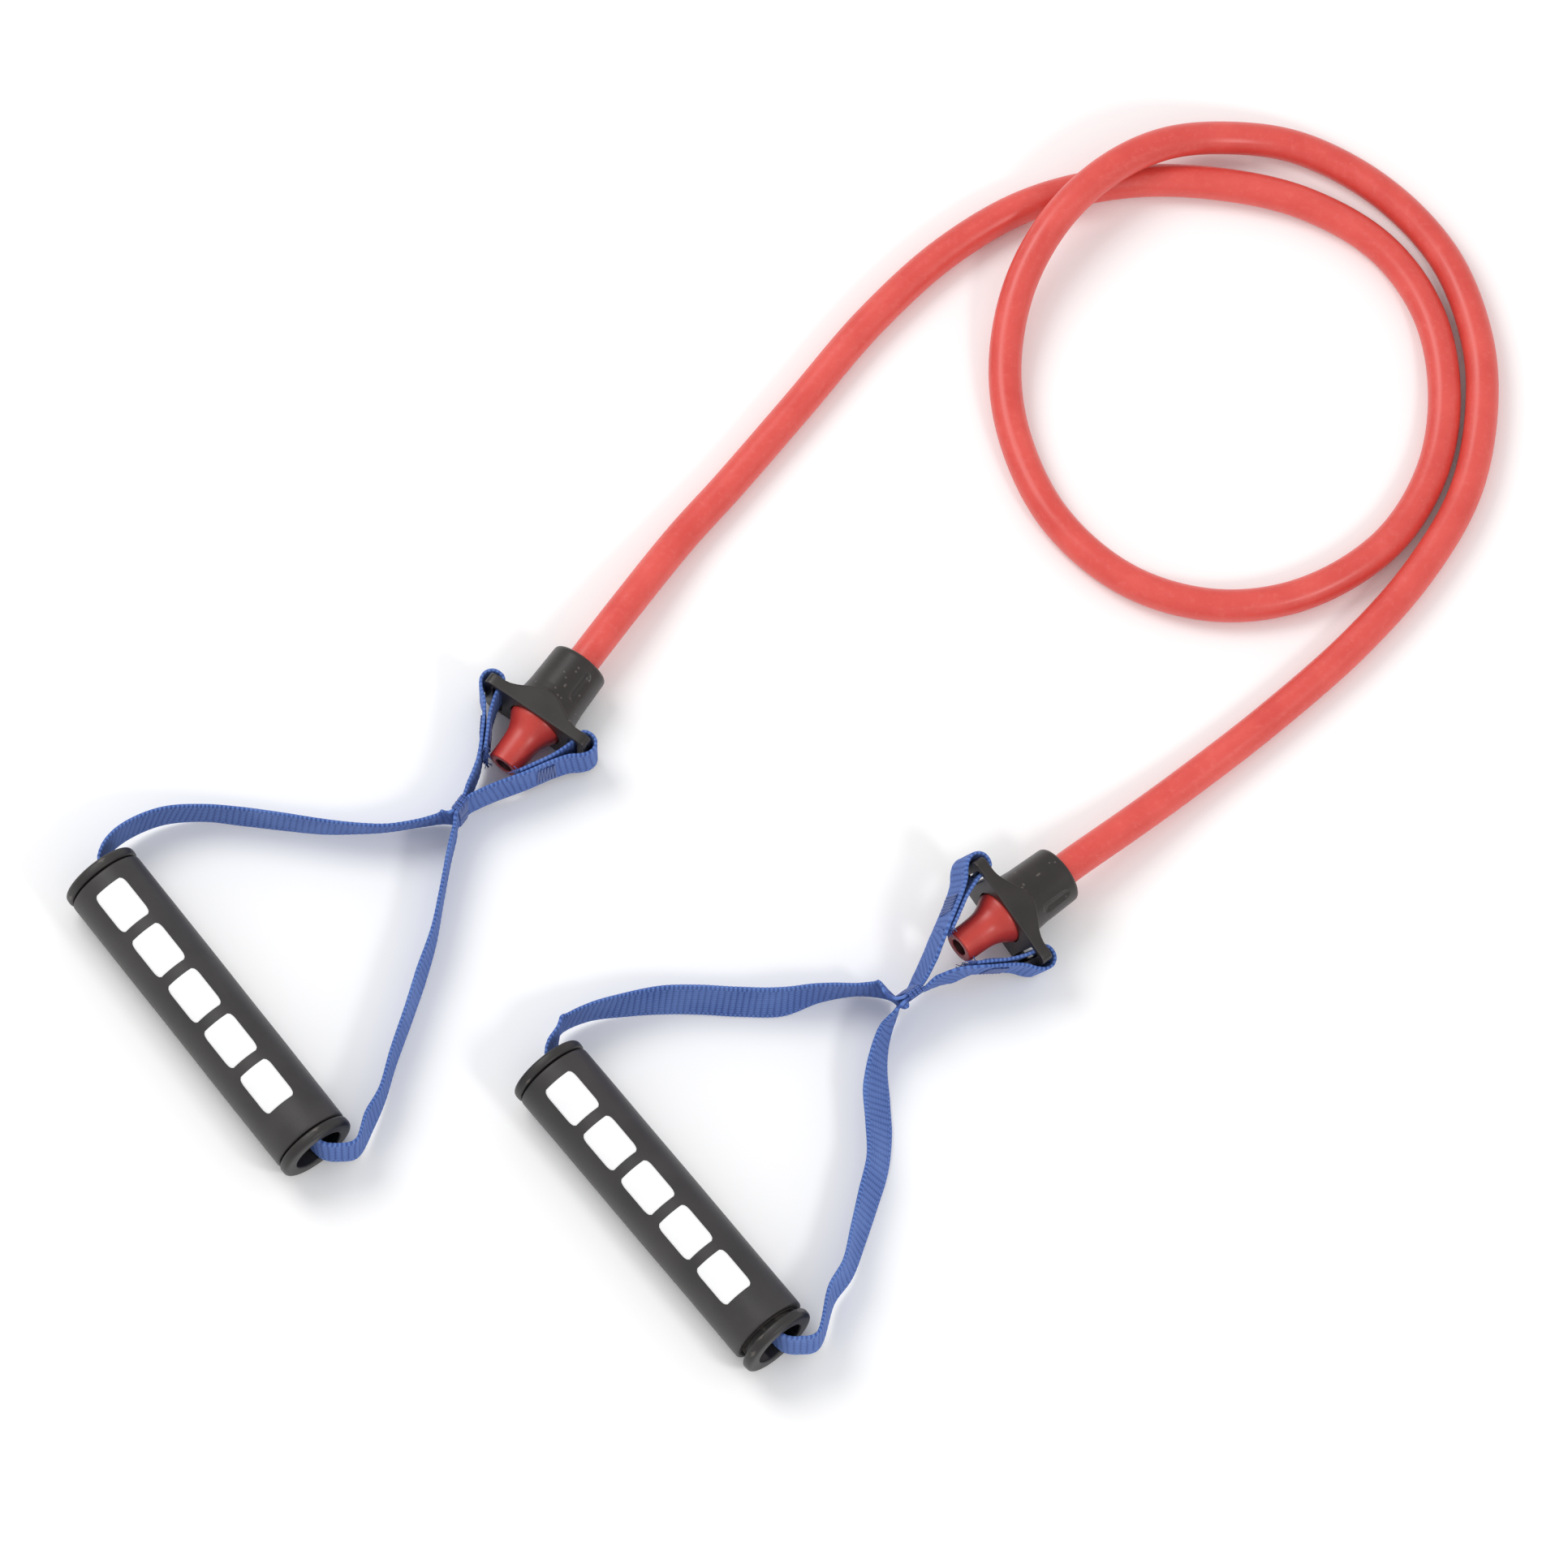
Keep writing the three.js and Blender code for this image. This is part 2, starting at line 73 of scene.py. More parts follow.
BAND_WIDTH = 19 * MM
BAND_THICKNESS = 1.3 * MM
RIB_PITCH = 2.4 * MM  # along the webbing
RIB_SLANT = 0.05  # how far the ribs move along, in pitches, from one lengthwise yarn to the next
RIB_RELIEF = 0.16 * MM
YARN_PITCH = 1.3 * MM  # across the webbing
EDGE_STITCH = 1.7 * MM  # pitch of the bound edges
TACK = 45 * MM  # where the sling's legs part, on the yoke's axis
WRAP_MIDDLE = 43.8 * MM  # the thread wound round the legs there, on the yoke's axis
WRAP_TURNS = 13
WRAP_STEP = 0.38 * MM
WRAP_HALF_WIDTH = 1.75 * MM
WRAP_HALF_HEIGHT = 10.1 * MM
ZIGZAG_ROWS = 13  # of each bar tack
ZIGZAG_LENGTH = 7.5 * MM
ZIGZAG_HALF_WIDTH = 7.2 * MM
FRAYED_YARNS = 120  # at each cut end

GRIP_LENGTH = 138 * MM
GRIP_HEIGHT = 15.5 * MM
SLEEVE_RADIUS = 15.3 * MM
SLEEVE_BORE = 12.9 * MM
CAP_RADIUS = 15.5 * MM
CAP_THICKNESS = 4.2 * MM
CAP_OPENING = 10 * MM
SPIGOT_RADIUS = 11.1 * MM
SPIGOT_LENGTH = 12 * MM

PRINT_BLOCKS = 5
PRINT_START = -58 * MM  # along the grip, from its middle
PRINT_LENGTH = 18 * MM
PRINT_GAP = 4.5 * MM
PRINT_AZIMUTH = 102  # round the grip, where 90 is its top
PRINT_HALF_ANGLE = 25.6
PRINT_CORNER = 0.2  # as a part of a block, both ways

CAMERA_TARGET = (0.077, 0.092, 0)
CAMERA_ELEVATION = math.radians(70)
CAMERA_DISTANCE = 8
VIEW_WIDTH = 0.589  # seen at the target

WORLD_LIGHT = 0.75
KEY_LIGHT = 12
HIGHLIGHT = 5

# Per end: the yoke's face towards the grip, with its axis's heading, how far the axis rises that way and
# how far the yoke is rolled about it, in degrees; where the legs meet, aside from the axis and above it;
# how far the top edge of each leg between yoke and tack tips over; the grip's centre and heading; how far
# the lower cap stands off its seat and is tilted; and the sling's legs between grip and cross tack as
# (x, y, z, lean), where lean tips the webbing's top edge outwards.
ENDS = {
    "a": {
        "yoke": (-0.0166, 0.1109, 0.013, 234.5, 0, 0),
        "tack": (-2.8 * MM, -1.5 * MM),
        "leg_lean": {"right": 0, "left": 0},
        "grip": (-0.138, -0.004, -52.8),
        "stand_off": 0,
        "cap_tilt": 0,
        "upper": [
            (-0.168, 0.0695, 0.013, 0),
            (-0.156, 0.075, 0.0115, -1),
            (-0.141, 0.0769, 0.0098, -2),
            (-0.126, 0.0755, 0.0097, 0),
            (-0.111, 0.0735, 0.0097, -1),
            (-0.096, 0.0715, 0.0097, -4),
            (-0.084, 0.0708, 0.0097, -9),
            (-0.072, 0.0709, 0.0097, -13),
            (-0.06, 0.0728, 0.0098, -13),
            (-0.05, 0.0746, 0.0107, -8),
        ],
        "lower": [
            (-0.0777, -0.046, 0.012, -7),
            (-0.0732, -0.036, 0.011, -2),
            (-0.0689, -0.02, 0.0098, -3),
            (-0.0637, -0.004, 0.0097, -4),
            (-0.0588, 0.012, 0.0097, -6),
            (-0.0541, 0.028, 0.0097, -2),
            (-0.0512, 0.044, 0.0097, 0),
            (-0.0484, 0.06, 0.0104, 0),
            (-0.0464, 0.069, 0.011, 0),
        ],
    },
    "b": {
        "yoke": (0.1574, 0.0318, 0.0192, 220, 7.5, -19.5),
        "tack": (3.8 * MM, -10.2 * MM),
        "leg_lean": {"right": -16, "left": 0},
        "grip": (0.0312, -0.0796, -51.2),
        "stand_off": 2 * MM,
        "cap_tilt": 2.5,
        "upper": [
            (-0.006, -0.0087, 0.013, -4),
            (0.004, -0.0029, 0.0115, -1),
            (0.018, 0.0007, 0.0099, 7),
            (0.032, 0.0026, 0.0097, 14),
            (0.046, 0.0027, 0.0096, 15),
            (0.06, 0.0019, 0.0096, 15),
            (0.076, 0.0019, 0.0096, 15),
            (0.09, 0.0053, 0.0097, 1),
            (0.104, 0.0066, 0.0098, -8),
            (0.1142, 0.0056, 0.0112, -2),
        ],
        "lower": [
            (0.0948, -0.114, 0.012, -5),
            (0.1006, -0.104, 0.011, -9),
            (0.1046, -0.09, 0.0098, -15),
            (0.1083, -0.076, 0.0095, -20),
            (0.1118, -0.062, 0.0093, -23),
            (0.1123, -0.048, 0.0089, -30),
            (0.1115, -0.034, 0.0089, -31),
            (0.1124, -0.02, 0.0095, -17),
            (0.1156, -0.008, 0.0105, -6),
        ],
    },
}

# The tube between the two yokes, where it lies free and passes once over itself.
LOOSE_ROUTE = [
    (0.0179, 0.1596, 0.0114),
    (0.0388, 0.1888, 0.0074),
    (0.0557, 0.209, 0.00645),
    (0.082, 0.2415, 0.00645),
    (0.11, 0.2765, 0.00645),
    (0.139, 0.3045, 0.00645),
    (0.17, 0.3235, 0.00645),
    (0.206, 0.3325, 0.00645),
    (0.24, 0.332, 0.00645),
    (0.274, 0.324, 0.00645),
    (0.303, 0.306, 0.00645),
    (0.3205, 0.28, 0.00645),
    (0.3265, 0.248, 0.00645),
    (0.3215, 0.215, 0.00645),
    (0.304, 0.186, 0.00645),
    (0.273, 0.166, 0.00645),
    (0.24, 0.1612, 0.00645),
    (0.207, 0.171, 0.00645),
    (0.18, 0.195, 0.00645),
    (0.165, 0.226, 0.0065),
    (0.1605, 0.256, 0.0086),
    (0.166, 0.287, 0.014),
    (0.18, 0.3125, 0.019),
    (0.199, 0.3315, 0.0197),
    (0.22, 0.3435, 0.0172),
    (0.244, 0.349, 0.0105),
    (0.272, 0.3465, 0.0066),
    (0.303, 0.329, 0.00645),
    (0.327, 0.302, 0.00645),
    (0.339, 0.269, 0.00645),
    (0.3405, 0.24, 0.00645),
    (0.334, 0.207, 0.00645),
    (0.317, 0.176, 0.00645),
    (0.292, 0.146, 0.00645),
    (0.258, 0.1145, 0.00645),
    (0.228, 0.0896, 0.0077),
    (0.208, 0.0733, 0.0104),
]


# ---- places --------------------------------------------------------------------------------------


def turned_frame(x, y, z, heading, rise=0, roll=0):
    """The matrix of a frame at a point: X along a heading and rise, then rolled about X, in degrees."""
    turns = ((heading, "Z"), (-rise, "Y"), (roll, "X"))
    matrix = Matrix.Translation((x, y, z))
    for angle, axis in turns:
        matrix = matrix @ Matrix.Rotation(math.radians(angle), 4, axis)
    return matrix


def yoke_frame(end):
    return turned_frame(*end["yoke"])


def grip_frame(end):
    x, y, heading = end["grip"]
    return turned_frame(x, y, GRIP_HEIGHT, heading)


def spline(points, spacing):
    """Points at an even spacing along a centripetal Catmull-Rom curve through points, each with its place
    in the list of points, where 1.5 is half way from the second to the third."""
    points = [Vector(p) for p in points]
    padded = [2 * points[0] - points[1], *points, 2 * points[-1] - points[-2]]
    places = [0.0]
    dense = [points[0]]
    steps = 60
    for i in range(len(points) - 1):
        p0, p1, p2, p3 = padded[i : i + 4]
        d0, d1, d2 = (math.sqrt((b - a).length) for a, b in ((p0, p1), (p1, p2), (p2, p3)))
        out_of = ((p1 - p0) / d0 - (p2 - p0) / (d0 + d1) + (p2 - p1) / d1) * d1
        into = ((p2 - p1) / d1 - (p3 - p1) / (d1 + d2) + (p3 - p2) / d2) * d1
        for k in range(1, steps + 1):
            t = k / steps
            bend = (2 * p1 - 2 * p2 + out_of + into) * t**3
            dense.append(p1 + out_of * t + (3 * p2 - 3 * p1 - 2 * out_of - into) * t**2 + bend)
            places.append(i + t)
    return evenly(np.array(dense), np.array(places), spacing)


def evenly(dense, places, spacing):
    """Points at equal steps of arc length along a dense polyline, with their places."""
    reach = np.concatenate([[0], np.cumsum(np.linalg.norm(np.diff(dense, axis=0), axis=1))])
    count = max(2, round(reach[-1] / spacing))
    wanted = np.linspace(0, reach[-1], count + 1)
    found = np.stack([np.interp(wanted, reach, dense[:, k]) for k in range(3)], axis=1)
    return found, np.interp(wanted, reach, places)


def smooth(values, times):
    """A list of numbers or vectors, each moved towards the mean of its neighbours, a number of times."""
    for _ in range(times):
        values = np.concatenate([values[:1], (values[:-2] + 2 * values[1:-1] + values[2:]) / 4, values[-1:]])
    return values


# ---- meshes --------------------------------------------------------------------------------------


def mesh_object(name, points, faces, uvs=None, matrix=None):
    """An object with a smooth mesh. uvs is one pair per corner of each face, in metres."""
    mesh = bpy.data.meshes.new(name)
    mesh.from_pydata([tuple(p) for p in points], [], faces)
    if uvs is not None:
        layer = mesh.uv_layers.new(name="metres")
        layer.data.foreach_set("uv", np.array(uvs, dtype=np.float32).ravel())
    if matrix is not None:
        mesh.transform(matrix)
    mesh.shade_smooth()
    mesh.validate()
    obj = bpy.data.objects.new(name, mesh)
    bpy.context.scene.collection.objects.link(obj)
    return obj


def grid_mesh(name, rings, closed=True, caps=False, uvs=None, matrix=None):
    """A skin over rings of equally many points. rings is an array of (ring, point, xyz), and uvs one pair per
    point, with one more per ring where the rings are closed."""
    count, size = rings.shape[:2]
    across = size if closed else size - 1
    faces = []
    corners = []
    for i in range(count - 1):
        for j in range(across):
            k = (j + 1) % size
            faces.append((i * size + j, i * size + k, (i + 1) * size + k, (i + 1) * size + j))
            corners.append(((i, j), (i, j + 1), (i + 1, j + 1), (i + 1, j)))
    if caps:
        faces.append(tuple(range(size - 1, -1, -1)))
        faces.append(tuple((count - 1) * size + j for j in range(size)))
        corners.append(tuple((0, j) for j in range(size - 1, -1, -1)))
        corners.append(tuple((count - 1, j) for j in range(size)))
    flat = None if uvs is None else [uvs[i, j] for face in corners for i, j in face]
    return mesh_object(name, rings.reshape(-1, 3), faces, flat, matrix)


def tube_mesh(name, path, radius, sides, matrix=None):
    """A round tube or thread along a path. radius is one number, or one per point of the path."""
    path = np.asarray(path, dtype=float)
    tangents = np.gradient(path, axis=0)
    tangents /= np.linalg.norm(tangents, axis=1)[:, None]
    radii = np.broadcast_to(radius, len(path))
    side = np.cross(tangents[0], (0, 0, 1) if abs(tangents[0][2]) < 0.9 else (1, 0, 0))
    angles = np.linspace(0, 2 * math.pi, sides, endpoint=False)
    rings = []
    for point, tangent, r in zip(path, tangents, radii):
        side = side - tangent * side.dot(tangent)
        side /= np.linalg.norm(side)
        up = np.cross(tangent, side)
        rings.append(point + r * (np.outer(np.cos(angles), side) + np.outer(np.sin(angles), up)))
    reach = np.concatenate([[0], np.cumsum(np.linalg.norm(np.diff(path, axis=0), axis=1))])
    round_it = np.linspace(0, 2 * math.pi * radii[0], sides + 1)
    uvs = np.stack(np.meshgrid(round_it, reach), axis=-1)
    return grid_mesh(name, np.array(rings), caps=True, uvs=uvs, matrix=matrix)


def lathe(name, profile, segments, matrix, ripple=None):
    """A solid of revolution about X. profile is a closed list of (x, radius), and ripple a function of
    (x, angle) that adds to the radius."""
    angles = np.linspace(0, 2 * math.pi, segments, endpoint=False)
    rings = []
    for angle in angles:
        ring = []
        for x, r in profile:
            r += ripple(x, angle) if ripple else 0
            ring.append((x, r * math.cos(angle), r * math.sin(angle)))
        rings.append(ring)
    rings.append(rings[0])
    rings = np.array(rings)
    reach = np.concatenate([[0], np.cumsum(np.linalg.norm(np.diff(np.array(profile), axis=0), axis=1))])
    reach = np.append(reach, reach[-1] + 0.001)
    around = np.linspace(0, 2 * math.pi * max(r for _, r in profile), segments + 1)
    uvs = np.stack(np.meshgrid(reach, around), axis=-1)
    obj = grid_mesh(name, rings, uvs=uvs, matrix=matrix)
    bm = bmesh.new()
    bm.from_mesh(obj.data)
    bmesh.ops.remove_doubles(bm, verts=bm.verts, dist=1e-6)
    bmesh.ops.recalc_face_normals(bm, faces=bm.faces)
    bm.to_mesh(obj.data)
    bm.free()
    obj.data.shade_smooth()
    return obj


def rounded(points, radius, steps=6):
    """A closed outline of (x, r) with its corners rounded. A corner may give its own radius as a third
    number."""
    out = []
    for i, corner in enumerate(points):
        here = Vector(corner[:2])
        before = Vector(points[i - 1][:2]) - here
        after = Vector(points[(i + 1) % len(points)][:2]) - here
        r = corner[2] if len(corner) > 2 else radius
        turn = math.pi - before.angle(after)
        cut = min(r * math.tan(turn / 2), 0.49 * before.length, 0.49 * after.length)
        if cut < 1e-7:
            out.append(tuple(here))
            continue
        a = here + before.normalized() * cut
        b = here + after.normalized() * cut
        for k in range(steps + 1):
            t = k / steps
            out.append(tuple((1 - t) ** 2 * a + 2 * t * (1 - t) * here + t**2 * b))
    return out


def join(name, objects):
    """One object from several."""
    with bpy.context.temp_override(
        active_object=objects[0], selected_objects=objects, selected_editable_objects=objects
    ):
        bpy.ops.object.join()
    objects[0].name = name
    objects[0].data.name = name
    return objects[0]


def applied(obj):
    """obj with its modifiers turned into its mesh."""
    depsgraph = bpy.context.evaluated_depsgraph_get()
    mesh = bpy.data.meshes.new_from_object(obj.evaluated_get(depsgraph))
    obj.modifiers.clear()
    obj.data = mesh
    return obj


def cut_away(obj, tool, operation="DIFFERENCE"):
    modifier = obj.modifiers.new("cut", "BOOLEAN")
    modifier.object = tool
    modifier.operation = operation
    modifier.solver = "EXACT"
    applied(obj)
    bpy.data.objects.remove(tool)
    return obj


def box(name, low, high):
    """A closed box between two corners."""
    bm = bmesh.new()
    size = [b - a for a, b in zip(low, high)]
    middle = [(a + b) / 2 for a, b in zip(low, high)]
    bmesh.ops.create_cube(bm, size=1, matrix=Matrix.Translation(middle) @ Matrix.Diagonal((*size, 1)))
    mesh = bpy.data.meshes.new(name)
    bm.to_mesh(mesh)
    bm.free()
    obj = bpy.data.objects.new(name, mesh)
    bpy.context.scene.collection.objects.link(obj)
    return obj


def prism(name, outline, low, high, to_point):
    """A closed prism over a plane outline, between two levels. to_point turns (u, v, level) into a point."""
    count = len(outline)
    points = [to_point(u, v, level) for level in (low, high) for u, v in outline]
    faces = [tuple(range(count - 1, -1, -1)), tuple(range(count, 2 * count))]
    faces += [(i, (i + 1) % count, count + (i + 1) % count, count + i) for i in range(count)]
    obj = mesh_object(name, points, faces)
    bm = bmesh.new()
    bm.from_mesh(obj.data)
    bmesh.ops.recalc_face_normals(bm, faces=bm.faces)
    bm.to_mesh(obj.data)
    bm.free()
    return obj


# ---- materials -----------------------------------------------------------------------------------


class Nodes:
    """A short way to write a node tree: each method adds a node and returns its first output."""

    def __init__(self, name):
        self.material = bpy.data.materials.new(name)
        self.material.use_nodes = True
        self.tree = self.material.node_tree
        self.shader = self.tree.nodes["Principled BSDF"]

    def put(self, socket, value):
        if isinstance(value, bpy.types.NodeSocket):
            self.tree.links.new(value, socket)
        else:
            socket.default_value = value

    def add(self, kind, *inputs, **settings):
        node = self.tree.nodes.new(kind)
        for key, value in settings.items():
            setattr(node, key, value)
        for socket, value in zip(node.inputs, inputs):
            if value is not None:
                self.put(socket, value)
        return node

    def math(self, operation, a, b=0.0):
        return self.add("ShaderNodeMath", a, b, operation=operation).outputs[0]

    def noise(self, vector, scale, detail=2.0, roughness=0.5):
        node = self.add("ShaderNodeTexNoise")
        self.put(node.inputs["Vector"], vector)
        node.inputs["Scale"].default_value = scale
        node.inputs["Detail"].default_value = detail
        node.inputs["Roughness"].default_value = roughness
        return node.outputs["Fac"]

    def ramp(self, value, low, high, to_low=0.0, to_high=1.0):
        node = self.add("ShaderNodeMapRange", value, low, high, to_low, to_high)
        return node.outputs[0]

    def mix(self, factor, a, b):
        node = self.tree.nodes.new("ShaderNodeMix")
        node.data_type = "RGBA"
        for socket, value in zip((node.inputs[0], node.inputs[6], node.inputs[7]), (factor, a, b)):
            self.put(socket, value)
        return node.outputs[2]

    def place(self, output="Object"):
        return self.add("ShaderNodeTexCoord").outputs[output]

    def uv(self):
        separate = self.add("ShaderNodeSeparateXYZ", self.place("UV"))
        return separate.outputs[0], separate.outputs[1]

    def stretched(self, u, v, u_scale, v_scale):
        """A place for a noise that is finer one way than the other."""
        scaled = (self.math("MULTIPLY", u, u_scale), self.math("MULTIPLY", v, v_scale))
        return self.add("ShaderNodeCombineXYZ", *scaled, 0.0).outputs[0]

    def bump(self, height, distance):
        node = self.add("ShaderNodeBump")
        node.inputs["Strength"].default_value = 1.0
        node.inputs["Distance"].default_value = distance
        self.put(node.inputs["Height"], height)
        self.put(self.shader.inputs["Normal"], node.outputs[0])

    def finish(self, color, roughness, **fixed):
        self.put(self.shader.inputs["Base Color"], color)
        self.put(self.shader.inputs["Roughness"], roughness)
        for key, value in fixed.items():
            self.shader.inputs[key.replace("_", " ")].default_value = value
        return self.material


def linear(red, green, blue):
    """A colour given as the sRGB numbers 0 to 255 that a viewer sees, as the shader's linear one."""
    parts = [c / 255 for c in (red, green, blue)]
    return (*[c / 12.92 if c <= 0.04045 else ((c + 0.055) / 1.055) ** 2.4 for c in parts], 1)


def tube_rubber():
    """Smooth extruded rubber with faint die lines along it, handling dust and a soft gloss."""
    n = Nodes("tube_rubber")
    u, v = n.uv()
    along = n.stretched(u, v, 900.0, 9.0)
    lines = n.noise(along, 1.0, 2.0)
    patches = n.noise(n.place(), 60.0, 3.0)
    dust = n.ramp(n.noise(n.place(), 420.0, 4.0, 0.7), 0.52, 0.8)
    color = n.mix(n.ramp(patches, 0.35, 0.7), linear(214, 74, 66), linear(224, 86, 77))
    color = n.mix(n.math("MULTIPLY", dust, 0.22), color, linear(240, 140, 130))
    rough = n.math("ADD", n.ramp(patches, 0.3, 0.7, 0.3, 0.38), n.math("MULTIPLY", dust, 0.12))
    n.bump(n.math("ADD", lines, n.math("MULTIPLY", patches, 0.6)), 0.00006)
    return n.finish(
        color, rough, Subsurface_Weight=0.12, Subsurface_Radius=(0.004, 0.001, 0.0008), Subsurface_Scale=0.5
    )


def tube_end_rubber():
    """The flared end: the same rubber stretched smooth, glossier, with a few specks. Its darker reds are
    painted shade, a shaded copy of the tube's rubber.
    """
    n = Nodes("tube_end_rubber")
    patches = n.noise(n.place(), 90.0, 3.0)
    specks = n.ramp(n.noise(n.place(), 1500.0, 2.0), 0.66, 0.74)
    # Darker reds than the tube's: painted shade.
    color = n.mix(n.ramp(patches, 0.3, 0.7), linear(184, 52, 44), linear(204, 66, 56))
    color = n.mix(n.math("MULTIPLY", specks, 0.35), color, linear(205, 110, 100))
    n.bump(n.math("ADD", patches, n.math("MULTIPLY", specks, 0.15)), 0.0001)
    return n.finish(color, n.ramp(patches, 0.3, 0.7, 0.34, 0.42))


def bore_painted_shade():
    """The inside of the tube's open end: the same rubber painted dark, a painted shade for the hollow, with a
    faint mottle.
    """
    n = Nodes("bore_painted_shade")
    color = n.mix(n.noise(n.place(), 900.0), linear(60, 16, 14), linear(92, 30, 26))
    return n.finish(color, 0.6)


def moulded_plastic(name, dark, light, rough):
    """Moulded plastic with a fine grain and some dust, its convex edges made paler by a painted highlight."""
    n = Nodes(name)
    place = n.place()
    grain_height = n.noise(place, 3500.0, 3.0, 0.6)
    clouds = n.noise(place, 70.0, 3.0)
    dust = n.ramp(n.noise(place, 1900.0, 3.0, 0.7), 0.62, 0.78)
    # Convex edges lighter: a painted highlight.
    edge = n.ramp(n.add("ShaderNodeNewGeometry").outputs["Pointiness"], 0.52, 0.62)
    color = n.mix(n.ramp(clouds, 0.3, 0.7), dark, light)
    color = n.mix(n.math("MULTIPLY", dust, 0.1), color, linear(150, 142, 134))
    color = n.mix(n.math("MULTIPLY", edge, 0.35), color, linear(128, 120, 113))
    uneven = n.ramp(clouds, 0.3, 0.7, rough - 0.04, rough + 0.05)
    n.bump(n.math("ADD", grain_height, n.math("MULTIPLY", clouds, 0.5)), 0.00002)
    return n.finish(color, n.math("ADD", uneven, n.math("MULTIPLY", dust, 0.1)))


def webbing():
    """Woven polyester: slanting cross ribs made of short lengthwise floats, with dark gaps between, and a
    stitched look along both edges. The dark gaps and lighter crowns are painted shade and painted highlight."""
    n = Nodes("webbing")
    u, v = n.uv()
    yarn = n.math("DIVIDE", u, YARN_PITCH)
    column = n.math("FLOOR", yarn)
    in_column = n.math("SUBTRACT", n.math("FRACT", yarn), 0.5)
    rib = n.math("ADD", n.math("DIVIDE", v, RIB_PITCH), n.math("MULTIPLY", column, RIB_SLANT))
    in_rib = n.math("SUBTRACT", n.math("FRACT", rib), 0.5)
    hump_u = n.math("COSINE", n.math("MULTIPLY", in_column, math.pi))
    hump_v = n.math("COSINE", n.math("MULTIPLY", in_rib, math.pi))
    hump = n.math("MULTIPLY", n.math("POWER", hump_u, 0.7), n.math("POWER", hump_v, 0.6))
    fibres = n.noise(n.stretched(u, v, 9000.0, 900.0), 1.0, 2.0)
    fade = n.noise(n.place(), 45.0, 3.0)
    edge = n.ramp(n.math("ABSOLUTE", n.math("SUBTRACT", u, BAND_WIDTH / 2)), 0.0072, 0.0078)
    stitch = n.math("SINE", n.math("MULTIPLY", v, 2 * math.pi / EDGE_STITCH))
    edge_hump = n.ramp(stitch, -0.6, 0.5, 0.25, 1.0)
    woven = n.math("MULTIPLY", hump, n.math("SUBTRACT", 1.0, edge))
    height = n.math("ADD", woven, n.math("MULTIPLY", edge_hump, edge))
    # The colour follows the weave's height: painted shade in the gaps, painted highlight on the crowns.
    weave_painted_light = n.math("ADD", n.math("MULTIPLY", height, 0.85), n.math("MULTIPLY", fibres, 0.3))
    color = n.mix(n.ramp(weave_painted_light, 0.2, 1.0), linear(44, 70, 138), linear(92, 124, 192))
    color = n.mix(n.math("MULTIPLY", n.ramp(fade, 0.45, 0.7), 0.3), color, linear(112, 142, 206))
    n.bump(n.math("ADD", height, n.math("MULTIPLY", fibres, 0.3)), 0.00022)
    return n.finish(
        color,
        0.72,
        Sheen_Weight=0.35,
        Sheen_Roughness=0.4,
        Sheen_Tint=linear(150, 175, 235),
        Specular_IOR_Level=0.3,
    )


def stitching():
    """Twisted sewing thread, a little darker than the webbing, with painted shade in the twist's grooves and
    painted highlight on its crowns.
    """
    n = Nodes("stitching")
    u, v = n.uv()
    twist = n.math("SINE", n.math("ADD", n.math("MULTIPLY", v, 7000.0), n.math("MULTIPLY", u, 2600.0)))
    fuzz = n.noise(n.place(), 2600.0, 2.0)
    # Darker and lighter along the twist: painted shade and painted highlight.
    color = n.mix(n.ramp(n.math("ADD", twist, fuzz), -0.6, 1.4), linear(36, 60, 128), linear(84, 116, 188))
    n.bump(n.math("ADD", twist, fuzz), 0.00008)
    return n.finish(color, 0.65, Sheen_Weight=0.3, Sheen_Roughness=0.4)


def grip_foam():
    """Closed-cell foam with a smooth skin: very fine pores, soft mottling and a dull gloss."""
    n = Nodes("grip_foam")
    place = n.place()
    pores = n.noise(place, 2600.0, 4.0, 0.65)
    mottle = n.noise(place, 55.0, 4.0)
    color = n.mix(n.ramp(mottle, 0.3, 0.7), linear(42, 40, 40), linear(54, 51, 51))
    color = n.mix(n.math("MULTIPLY", n.ramp(pores, 0.6, 0.75), 0.25), color, linear(96, 92, 90))
    n.bump(n.math("ADD", pores, n.math("MULTIPLY", mottle, 1.5)), 0.00007)
    return n.finish(color, n.ramp(mottle, 0.3, 0.7, 0.42, 0.52))


def white_print():
    """Screen-printed ink: not quite even, and worn thin in small spots."""
    n = Nodes("white_print")
    place = n.place()
    wear = n.ramp(n.noise(place, 1300.0, 4.0, 0.7), 0.66, 0.76)
    color = n.mix(n.noise(place, 140.0, 3.0), linear(250, 250, 250), linear(238, 238, 240))
    color = n.mix(n.math("MULTIPLY", wear, 0.3), color, linear(150, 148, 148))
    n.bump(n.noise(place, 2600.0, 3.0), 0.00003)
    return n.finish(color, 0.5)


def floor_paint():
    """A pale, even studio floor, with the faintest mottling."""
    n = Nodes("floor")
    color = n.mix(n.noise(n.place(), 3.0, 2.0), linear(252, 252, 252), linear(255, 255, 255))
    return n.finish(color, 0.9, Specular_IOR_Level=0.0)


